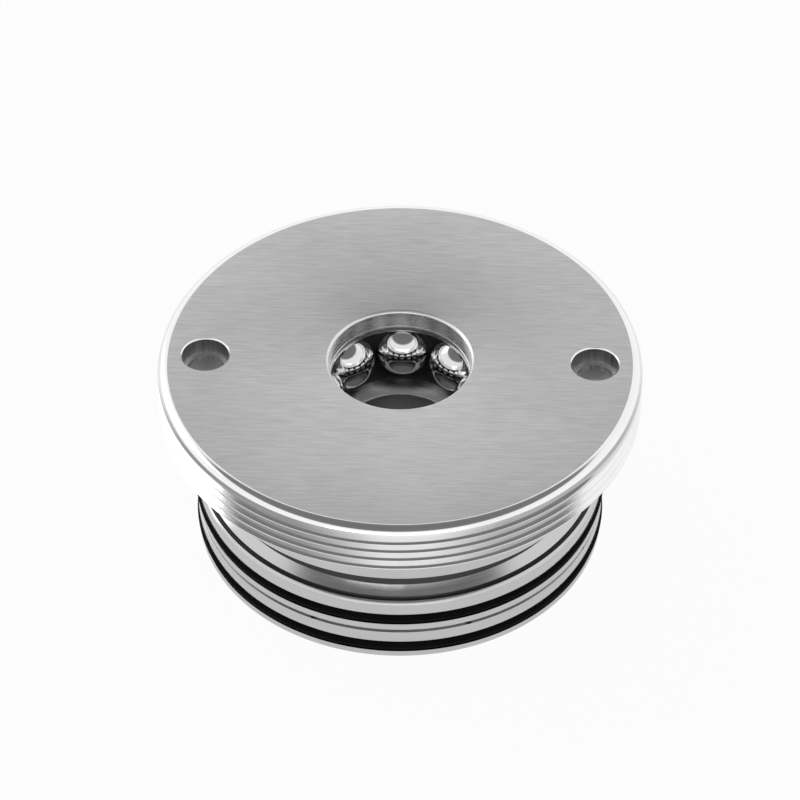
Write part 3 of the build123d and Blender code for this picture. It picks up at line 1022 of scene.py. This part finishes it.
@dataclass
class LowerHousing:
    """Cylinder body and base cover, which make the sealed spigot."""

    shop: Workshop
    body: Span = measured("cylinder_body")
    base: Span = measured("base_cover")
    upper_seal: Span = measured("upper_body_seal")
    lower_seal: Span = measured("lower_body_seal")
    base_seal: Span = measured("base_seal")
    cover_seal: Span = measured("cover_seal")
    seat_ring: Span = measured("seat_ring")
    piston: Span = measured("piston")
    washers: Span = measured("seal_washers")
    groove_side: float = 0.1
    upper_land: float = 10.2
    neck_radius: float = 44.1
    floor_rise: float = 1.45
    ledge_step: float = 0.65
    ledge_width: float = 0.8
    ledge_chamfer: float = 0.65
    ledge_rise: float = 8.9
    parting_gap: float = 0.85
    gap_radius: float = 43.5
    bottom_edge: float = 0.4
    recess_radius: float = 18.0
    pocket_radius: float = 13.0
    pocket_floor: float = 8.0
    slot_width: float = 3.0
    notch_depth: float = 2.0
    air_way_radius: float = 1.5
    screw_hole_radius: float = 2.25
    counterbore_radius: float = 3.75
    counterbore_edge: float = 0.2
    spring_floor: float = 5.0

    def ring_groove(self, seal: Span) -> list[Corner]:
        """Corners of an outer seal's groove, from its lower edge to its upper edge."""
        sides = seal_sides(seal, self.groove_side)
        return groove(self.body.radius, seal.radius - seal.height, sides, 0.12, 0.2)

    def body_outline(self) -> list[Corner]:
        """Section of the cylinder body.

        Returns:
            Its corners in order.
        """
        radius, low, high = self.body.radius, self.body.low, self.body.high
        chamber = self.piston.radius + RUNNING_GAP
        ledge = low + self.ledge_rise
        floor_radius = radius - self.ledge_chamfer - self.ledge_width
        step_top = ledge + self.ledge_step
        seal_inner, seal_outer = self.cover_seal.radius - 1.35, self.cover_seal.radius + 0.15
        return [
            Corner(chamber, low, 0.2),
            Corner(radius, low, 0.12),
            *self.ring_groove(self.upper_seal),
            Corner(radius, ledge - self.ledge_chamfer, 0.05),
            Corner(radius - self.ledge_chamfer, ledge, 0.05),
            Corner(floor_radius, ledge, 0.05),
            Corner(floor_radius, step_top, 0.05),
            Corner(self.neck_radius, step_top + self.floor_rise, 0.05),
            Corner(self.neck_radius, high - self.upper_land, 0.05),
            Corner(radius, high - self.upper_land, 0.12),
            Corner(radius, high, 0.05),
            Corner(seal_outer, high, 0.05),
            Corner(seal_outer, self.cover_seal.low, 0.1),
            Corner(seal_inner, self.cover_seal.low, 0.1),
            Corner(seal_inner, high, 0.05),
            Corner(chamber, high, 0.2),
        ]

    def build_body(self) -> None:
        """Turn and drill the cylinder body."""
        piece = solid(turned(self.body_outline()), "cylinder_body_turned")
        low, high, circle = self.body.low - CUT_PAST, self.body.high + CUT_PAST, screw_circle()
        cutters = drills(self.screw_hole_radius, low, high, screw_places())
        cutters += drills(self.air_way_radius, low, high, places_round(circle, 4))
        cut(piece, cutters)
        chamber = self.piston.radius + RUNNING_GAP
        notch_low = self.body.high - self.notch_depth
        cut(piece, slots(2 * (circle - chamber), self.slot_width, notch_low, high, chamber))
        dress(piece, self.shop.shell, self.shop.shaded_neck)
        # Painted shade: the undercut wall under the flange and the ledge below it take the near-black
        # finish.
        wall_top = self.body.high - self.upper_land
        ledge = self.body.low + self.ledge_rise
        for face in piece.data.polygons:
            reach, height = face.center.xy.length / MM, face.center.z / MM
            shaded_wall = abs(reach - self.neck_radius) < 0.1 and height < wall_top
            shaded_ledge_reach = reach < self.body.radius - self.ledge_chamfer and self.neck_radius < reach
            if shaded_wall or (shaded_ledge_reach and ledge - 0.02 < height < ledge + self.ledge_step + 0.02):
                face.material_index = 1
        seat(piece, Body.HOUSING, "body_steel", "cylinder_body")

    def base_outline(self) -> list[Corner]:
        """Section of the base cover, from the axis under it to the pocket's floor.

        Returns:
            Its corners in order.
        """
        radius, edge = self.body.radius, self.bottom_edge
        spigot = self.base_seal.radius - RUNNING_GAP
        parting, floor = self.body.low, self.base_seal.radius - self.base_seal.height
        return [
            Corner(0.0, 0.0, 0.0),
            Corner(radius - edge, 0.0, 0.06),
            Corner(radius, edge, 0.06),
            *self.ring_groove(self.lower_seal),
            Corner(radius, parting - self.parting_gap, 0.12),
            Corner(self.gap_radius, parting - self.parting_gap, 0.1),
            Corner(self.gap_radius, parting, 0.05),
            Corner(spigot, parting, 0.05),
            *groove(spigot, floor, seal_sides(self.base_seal), 0.05, 0.1),
            Corner(spigot, self.base.high, 0.3),
            Corner(self.recess_radius, self.base.high, 0.1),
            Corner(self.recess_radius, self.seat_ring.low, 0.1),
            Corner(self.pocket_radius, self.seat_ring.low, 0.05),
            Corner(self.pocket_radius, self.pocket_floor, 0.4, 4),
            Corner(0.0, self.pocket_floor, 0.0),
        ]

    def screw_hole(self, place: Vector) -> Mesh:
        """Cutter of one screw's counterbored hole.

        Args:
            place: Where its axis is, in metres.

        Returns:
            The cutter.
        """
        high, edge = self.body.low + CUT_PAST, self.counterbore_edge
        bore, hole = self.counterbore_radius, self.screw_hole_radius
        shape = [
            Corner(0.0, -CUT_PAST, 0.0),
            Corner(bore + edge, -CUT_PAST, 0.0),
            Corner(bore + edge, -0.02, 0.0),
            Corner(bore, edge, 0.03),
            Corner(bore, self.washers.high, 0.1),
            Corner(hole, self.washers.high, 0.06),
            Corner(hole, high, 0.0),
            Corner(0.0, high, 0.0),
        ]
        return moved(turned(shape, closed=False, steps=HOLE_STEPS), place)

    def build_base(self) -> None:
        """Turn and drill the base cover."""
        piece = solid(turned(self.base_outline(), closed=False), "base_cover_turned")
        high = self.base.high + CUT_PAST
        cutters = drills(SpringSet.pocket_radius, self.spring_floor, high, spring_places())
        cut(piece, cutters + [self.screw_hole(place) for place in screw_places()])
        reach = 2 * (self.gap_radius - screw_circle()) + self.slot_width
        low, high = self.body.low - self.parting_gap, self.body.low + CUT_PAST
        cut(piece, slots(reach, self.slot_width, low, high, self.gap_radius))
        dress(piece, self.shop.shell, self.shop.lit_hole_floor)
        # Painted light: the pocket's wall and floor take the near-white floor finish.
        for face in piece.data.polygons:
            inside = face.center.xy.length < (self.pocket_radius + 0.1) * MM
            if inside and face.center.z > (self.pocket_floor - 1.0) * MM:
                face.material_index = 1
        seat(piece, Body.HOUSING, "base_steel", "base_cover")


@dataclass
class BallLock:
    """Seat ring, ball cage and the balls in its windows."""

    shop: Workshop
    cage: Span = measured("ball_cage")
    seat_ring: Span = measured("seat_ring")
    base: Span = measured("base_cover")
    ball: Span = measured("ball_1")
    dowels: Span = measured("cage_dowels")
    bore: float = 16.8
    spigot_radius: float = 17.97
    pocket_radius: float = 13.0
    seat_mouth: Point = (0.3, 1.5)
    window_gap: float = 0.05
    window_reach: float = 8.0
    dowel_radius: float = 1.25
    ball_count: int = 8

    @property
    def ball_radius(self) -> float:
        """Radius of a ball."""
        return self.ball.height / 2

    def build_seat(self) -> None:
        """Turn the seat ring and drill it for the dowels."""
        widening, fall = self.seat_mouth
        outer, top = self.seat_ring.radius, self.seat_ring.high
        outline = [
            Corner(self.pocket_radius, self.seat_ring.low, 0.1),
            Corner(self.spigot_radius, self.seat_ring.low, 0.2),
            Corner(self.spigot_radius, self.base.high, 0.1),
            Corner(outer, self.base.high, 0.1),
            Corner(outer, top, 0.1),
            Corner(self.bore, top, 0.06),
            Corner(self.pocket_radius + widening, top - fall, 0.12),
            Corner(self.pocket_radius, top - fall - widening, 0.12),
        ]
        piece = solid(turned(outline), "seat_ring_ground")
        cut(piece, self.dowel_drills(self.dowels.low - 0.1, top + 1.0))
        dress(piece, self.shop.race)
        seat(piece, Body.HOUSING, "seat_steel", "seat_ring")

    def dowel_drills(self, low: float, high: float) -> list[Mesh]:
        """Cutters of the two dowel holes between two heights in millimetres."""
        middle = (self.bore + self.cage.radius) / 2
        return drills(self.dowel_radius, low, high, places_round(middle, 2, TieScrews.first_angle))

    def window_cutter(self, angle: float) -> Mesh:
        """A round-ended cutter of one window.

        Args:
            angle: Angle of the radius that it lies along, in degrees.

        Returns:
            The cutter.
        """
        radius = self.ball_radius + self.window_gap
        outline = [
            Corner(0.0, -radius, 0.0),
            Corner(radius, -radius, radius, 16),
            Corner(radius, 0.0, 0.0),
            Corner(radius, self.window_reach, 0.0),
            Corner(0.0, self.window_reach, 0.0),
        ]
        cutter = turned(outline, closed=False, steps=HOLE_STEPS * 2)
        lie = Matrix.Rotation(math.pi / 2, 3, "Y")
        turn = Matrix.Rotation(math.radians(angle), 3, "Z")
        rolled(cutter, turn @ lie)
        return moved(cutter, polar(self.ball.radius - self.ball_radius, angle, self.ball.middle))

    def build_cage(self) -> None:
        """Turn the cage and cut its windows and dowel holes."""
        outline = [
            Corner(self.bore, self.cage.low, 0.12),
            Corner(self.cage.radius, self.cage.low, 0.2),
            Corner(self.cage.radius, self.cage.high, 0.2),
            Corner(self.bore, self.cage.high, 0.05),
        ]
        piece = solid(turned(outline), "ball_cage_blackened")
        for angle in steps_round(self.ball_count):
            cut(piece, [self.window_cutter(angle)])
        cut(piece, self.dowel_drills(self.cage.low - 1.0, self.dowels.high))
        dress(piece, self.shop.cage)
        seat(piece, Body.HOUSING, "cage_black", "ball_cage")

    def dress_balls(self) -> None:
        """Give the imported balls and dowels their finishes."""
        for number in range(self.ball_count):
            paint_node(f"ball_{number + 1}", self.shop.ball)
        paint_node("cage_dowels", self.shop.dowel)


@dataclass
class PistonUnit:
    """Piston with its coned sleeve, its seal and its guides."""

    shop: Workshop
    piston: Span = measured("piston")
    cover: Span = measured("flange_cover")
    cage: Span = measured("ball_cage")
    sleeve_seal: Span = measured("sleeve_seal")
    seal: Span = measured("piston_seal")
    band: Span = measured("piston_guide_band")
    guide: Span = measured("piston_guide_ring")
    crown_gap: float = 0.5
    band_wall: float = 1.5
    cone_mouth: float = 29.81
    cone_foot: float = 29.99
    pocket_depth: float = 6.0

    def outline(self) -> list[Corner]:
        """Section of the piston.

        Returns:
            Its corners in order.
        """
        bore, rim = self.cage.radius + RUNNING_GAP, self.piston.radius
        crown = self.cover.low - self.crown_gap
        sleeve = self.sleeve_seal.radius - self.sleeve_seal.height - SLIDING_GAP
        band_floor, seal_floor = self.band.radius - self.band_wall, self.seal.radius - self.seal.height
        return [
            Corner(bore, self.piston.low, 0.2),
            Corner(rim, self.piston.low, 0.3),
            *groove(rim, band_floor, (self.band.low, self.band.high), 0.05, 0.1),
            *groove(rim, seal_floor, seal_sides(self.seal), 0.05, 0.2),
            Corner(rim, crown, 0.3),
            Corner(sleeve, crown, 0.3),
            Corner(sleeve, self.piston.high, 0.3),
            Corner(self.cone_mouth, self.piston.high, 0.2),
            Corner(bore, self.cone_foot, 0.2),
            *groove(bore, self.guide.radius, (self.guide.high, self.guide.low), 0.05, 0.1),
        ]

    def build(self) -> None:
        """Turn and drill the piston."""
        piece = solid(turned(self.outline()), "piston_ground")
        low, high = self.piston.low - CUT_PAST, self.piston.low + self.pocket_depth
        cut(piece, drills(SpringSet.pocket_radius, low, high, spring_places()))
        dress(piece, self.shop.piston)
        seat(piece, Body.PISTON, "piston_steel", "piston")

    def dress_rings(self) -> None:
        """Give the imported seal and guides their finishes."""
        paint_node("piston_seal", self.shop.rubber)
        paint_node("piston_guide_ring", self.shop.plastic)
        paint_node("piston_guide_band", self.shop.plastic)


@dataclass
class SpringSet:
    """Compression springs with closed and ground ends."""

    shop: Workshop
    span: Span = measured("spring_1")
    count: int = 8
    pocket_radius: float = 4.4
    coil_radius: float = 3.4
    wire_radius: float = 0.6
    ground: float = 0.3
    turns: float = 7.5
    closed_turns: float = 1.0
    sections: int = 24

    def coil(self) -> Mesh:
        """Wind one spring around Z at the origin, and grind its ends flat.

        Returns:
            The coil.
        """
        low, high = self.span.low, self.span.high
        wire = bmesh.new()
        bmesh.ops.create_circle(wire, cap_ends=False, segments=12, radius=self.wire_radius * MM)
        rolled(wire, Matrix.Rotation(math.pi / 2, 3, "X"))
        moved(wire, Vector((self.coil_radius, 0.0, low + self.ground)) * MM)
        closed, rise_closed = self.closed_turns, 2 * self.wire_radius * 1.02
        active = self.turns - 2 * closed
        rise_active = (high - low - 2 * self.ground - 2 * rise_closed * closed) / active
        ends = wire.verts[:] + wire.edges[:]
        for turns, rise in ((closed, rise_closed), (active, rise_active), (closed, rise_closed)):
            steps = round(turns * self.sections)
            ends = swept(wire, ends, turns, steps, rise * turns / steps)
        fill_ends(wire)
        for height, up in ((low, -1), (high, 1)):
            bmesh.ops.bisect_plane(
                wire,
                geom=wire.verts[:] + wire.edges[:] + wire.faces[:],
                plane_co=(0, 0, height * MM),
                plane_no=(0, 0, up),
                clear_outer=True,
            )
            fill_ends(wire)
        return wire

    def build(self) -> None:
        """Wind every spring and seat it on the housing in place of its node."""
        for number, place in enumerate(spring_places()):
            piece = solid(moved(self.coil(), place), f"coil_spring_{number + 1}")
            dress(piece, self.shop.spring, crease=50.0)
            seat(piece, Body.HOUSING, "spring_steel", f"spring_{number + 1}")
            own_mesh(piece)


@dataclass
class TieScrews:
    """Socket head screws that hold the housings together from below."""

    shop: Workshop
    span: Span = measured("tie_screws")
    washers: Span = measured("seal_washers")
    count: int = 8
    first_angle: float = 22.5
    head_radius: float = 3.5
    shank_radius: float = 2.0
    thread_length: float = 20.0
    pitch: float = 0.7
    thread_depth: float = 0.4
    socket_width: float = 3.0
    socket_depth: float = 2.0
    flutes: int = 24

    def blank(self) -> Piece:
        """Turn, knurl, thread and broach one screw on the axis.

        Returns:
            The screw.
        """
        low, high, tip = self.span.low, self.washers.low, self.span.high
        outline = [
            Corner(0.0, tip, 0.0),
            Corner(self.shank_radius - 0.4, tip, 0.05),
            Corner(self.shank_radius, tip - 0.4, 0.05),
            Corner(self.shank_radius, high, 0.15, 3),
            Corner(self.head_radius, high, 0.12),
            Corner(self.head_radius, low, 0.35, 3),
            Corner(0.0, low, 0.0),
        ]
        stem = turned(outline, closed=False, steps=self.flutes * 2)
        for point in stem.verts:
            reach = point.co.xy.length
            on_side = (low + 0.3) * MM < point.co.z < (high - 0.1) * MM
            if on_side and reach > (self.head_radius - 0.02) * MM:
                turn = math.atan2(point.co.y, point.co.x) / FULL_TURN * self.flutes * 2
                if round(turn) % 2:
                    point.co.xy = point.co.xy * (1 - 0.14 * MM / reach)
        piece = solid(stem, "screw_blank")
        outer, inner = self.shank_radius + 0.05, self.shank_radius - self.thread_depth
        section = [(outer, -0.31), (inner, -0.05), (inner, 0.05), (outer, 0.31)]
        start = tip - self.thread_length
        cut(piece, [helix_cutter(section, self.pitch, start, tip + 0.5, steps=24)])
        key = bmesh.new()
        width, depth = self.socket_width / math.sqrt(3) * MM, (self.socket_depth + 1) * MM
        bmesh.ops.create_cone(key, cap_ends=True, segments=6, radius1=width, radius2=width, depth=depth)
        cut(piece, [moved(key, Vector((0.0, 0.0, low + self.socket_depth / 2 - 0.5)) * MM)])
        return piece

    def build(self) -> None:
        """Set a screw in every hole, and dress the washers under their heads."""
        paint_node("seal_washers", self.shop.brass)
        blank = self.blank()
        for number, place in enumerate(screw_places()):
            mesh = blank.data.copy()
            mesh.name = f"tie_screw_{number + 1}"
            mesh.transform(Matrix.Translation(place))
            piece = placed(mesh.name, mesh)
            dress(piece, self.shop.screw)
            seat(piece, Body.HOUSING, "screw_black", "tie_screws")
        bpy.data.objects.remove(blank)


@dataclass
class SealSet:
    """Round-section rings that close the housings."""

    shop: Workshop

    def dress_rings(self) -> None:
        """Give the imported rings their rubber."""
        for name in ("upper_body_seal", "lower_body_seal", "sleeve_seal", "base_seal", "cover_seal"):
            paint_node(name, self.shop.rubber)


def paint_node(name: str, material: Material) -> None:
    """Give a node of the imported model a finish.

    Args:
        name: Name of the node.
        material: Its new material.
    """
    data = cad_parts[name].data
    data.materials.clear()
    data.materials.append(material)
    LOG.info("node %s: %s", name, material.name)


@dataclass
class Studio:
    """Pale floor, soft boxes, bright surroundings and the camera."""

    top: Span = measured("flange_cover")
    aim_depth: float = 13.0
    azimuth: float = 2.1
    elevation: float = 43.3
    distance: float = 0.860
    lens: float = 166.0
    floor_seen: float = 0.94
    floor_mirrored: float = 0.6
    white_reach: Point = (0.085, 0.12)
    grey_sides: tuple[Point, Point] = ((-62.0, 0.08), (70.0, 0.35))
    side_edge: Point = (0.55, 0.9)
    ceiling_lean: float = -0.1
    ceiling: tuple[Point, ...] = ((0.0, 1.0), (0.72, 0.95), (0.78, 0.20), (1.0, 0.17))

    @property
    def aim(self) -> Vector:
        """The point that the camera and the lamps face, in metres."""
        return Vector((0.0, 0.0, self.top.high - self.aim_depth)) * MM

    def build_camera(self) -> None:
        """Place the camera at the photograph's angle."""
        camera = bpy.data.cameras.new("camera")
        camera.lens = self.lens
        camera.sensor_width = 36.0
        camera.clip_start = 0.01
        camera.clip_end = 20.0
        holder = placed("camera", camera)
        turn, tilt = math.radians(self.azimuth), math.radians(self.elevation)
        level = math.cos(tilt)
        back = Vector((math.sin(turn) * level, -math.cos(turn) * level, math.sin(tilt)))
        holder.location = self.aim + back * self.distance
        holder.rotation_euler = (-back).to_track_quat("-Z", "Y").to_euler()
        bpy.context.scene.camera = holder

    def side_shade(self, sheet: NodeSheet) -> Socket:
        """Brightness of the floor in the metal: white near the part and in front, grey aside.

        Args:
            sheet: Node sheet of the floor.

        Returns:
            The output with the brightness.
        """
        _, x, y, _ = sheet.place()
        reach = sheet.reach(x, y)
        shade = sheet.ranged(reach, *self.white_reach, 1.0, 0.0)
        sides = []
        for turn, level in self.grey_sides:
            lean_x = sheet.times(x, math.sin(math.radians(turn)))
            lean_y = sheet.times(y, -math.cos(math.radians(turn)))
            lean = sheet.math("DIVIDE", sheet.math("ADD", lean_x, lean_y), reach)
            sides.append(sheet.ranged(lean, *self.side_edge, 1.0, level))
        return sheet.math("MAXIMUM", shade, sheet.math("MINIMUM", *sides))

    def build_floor(self) -> None:
        """Lay the pale floor, which looks white to the camera and in the metal."""
        plane = bmesh.new()
        bmesh.ops.create_circle(plane, cap_ends=True, segments=96, radius=3.0)
        floor = solid(plane, "floor")
        sheet = NodeSheet(bpy.data.materials.new("floor_paint"))
        diffuse = sheet.add("ShaderNodeBsdfDiffuse")
        diffuse.inputs["Color"].default_value = (0.9, 0.9, 0.9, 1.0)
        path = sheet.add("ShaderNodeLightPath")
        glow = sheet.add("ShaderNodeEmission")
        glow.inputs["Color"].default_value = (1.0, 1.0, 1.0, 1.0)
        sheet.feed(
            glow.inputs["Strength"],
            sheet.math("MAXIMUM", path.outputs["Is Camera Ray"], self.side_shade(sheet)),
        )
        mix = sheet.add("ShaderNodeMixShader")
        seen = sheet.times(path.outputs["Is Camera Ray"], self.floor_seen)
        mirrored = sheet.times(path.outputs["Is Glossy Ray"], self.floor_mirrored)
        sheet.feed(mix.inputs[0], sheet.math("ADD", seen, mirrored))
        sheet.feed(mix.inputs[1], diffuse.outputs[0])
        sheet.feed(mix.inputs[2], glow.outputs[0])
        output = sheet.add("ShaderNodeOutputMaterial")
        sheet.feed(output.inputs["Surface"], mix.outputs[0])
        floor.data.materials.append(sheet.owner)

    def build_world(self) -> None:
        """Surround the part with a bright room under a dark ceiling that leans to the front."""
        sheet = NodeSheet(bpy.data.worlds.new("room"))
        bpy.context.scene.world = sheet.owner
        coordinates = sheet.add("ShaderNodeTexCoord")
        lean = sheet.add("ShaderNodeVectorMath", operation="DOT_PRODUCT")
        sheet.feed(lean.inputs[0], coordinates.outputs["Generated"])
        sheet.feed(lean.inputs[1], (0.0, self.ceiling_lean, 1.0))
        ramp = sheet.add("ShaderNodeValToRGB")
        sheet.feed(ramp.inputs[0], lean.outputs["Value"])
        stops = ramp.color_ramp.elements
        for position, _ in self.ceiling[1:-1]:
            stops.new(position)
        for stop, (_, level) in zip(stops, self.ceiling):
            stop.color = (level, level, level, 1.0)
        path = sheet.add("ShaderNodeLightPath")
        mix = sheet.add("ShaderNodeMix", data_type="RGBA")
        sheet.feed(mix.inputs["Factor"], path.outputs["Is Camera Ray"])
        sheet.feed(mix.inputs[6], ramp.outputs[0])
        sheet.feed(mix.inputs[7], (1.0, 1.0, 1.0, 1.0))
        background = sheet.add("ShaderNodeBackground")
        sheet.feed(background.inputs["Color"], mix.outputs[2])
        output = sheet.add("ShaderNodeOutputWorld")
        sheet.feed(output.inputs["Surface"], background.outputs[0])

    def build_lamp(self, name: str, place: Sequence[float], size: Point, level: float) -> None:
        """Hang one soft box that faces the part.

        Args:
            name: Name of the lamp.
            place: Where it hangs, in metres.
            size: Its width and height in metres.
            level: Its brightness, where 1 is white.
        """
        lamp = bpy.data.lights.new(name, "AREA")
        lamp.shape = "RECTANGLE"
        lamp.size, lamp.size_y = size
        lamp.energy = level * math.pi * size[0] * size[1]
        holder = placed(name, lamp)
        holder.location = place
        holder.rotation_euler = (self.aim - Vector(place)).to_track_quat("-Z", "Y").to_euler()
        holder.visible_camera = False

    def build(self) -> None:
        """Set up the whole studio."""
        bpy.context.scene.view_settings.view_transform = "Standard"
        self.build_floor()
        self.build_world()
        self.build_lamp("left_box", (-0.75, 0.45, 0.55), (0.7, 0.7), 0.9)
        self.build_lamp("front_box", (0.0, -0.95, 0.32), (1.0, 0.3), 2.0)
        self.build_camera()


def main() -> None:
    """Build the studio and every piece."""
    logging.basicConfig(level=logging.INFO, format="%(name)s: %(message)s")
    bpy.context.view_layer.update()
    Studio().build()
    shop = Workshop()
    FlangeCover(shop).build()
    housing = LowerHousing(shop)
    housing.build_body()
    housing.build_base()
    lock = BallLock(shop)
    lock.build_seat()
    lock.build_cage()
    lock.dress_balls()
    piston = PistonUnit(shop)
    piston.build()
    piston.dress_rings()
    SpringSet(shop).build()
    TieScrews(shop).build()
    SealSet(shop).dress_rings()


if __name__ == "__main__":
    main()
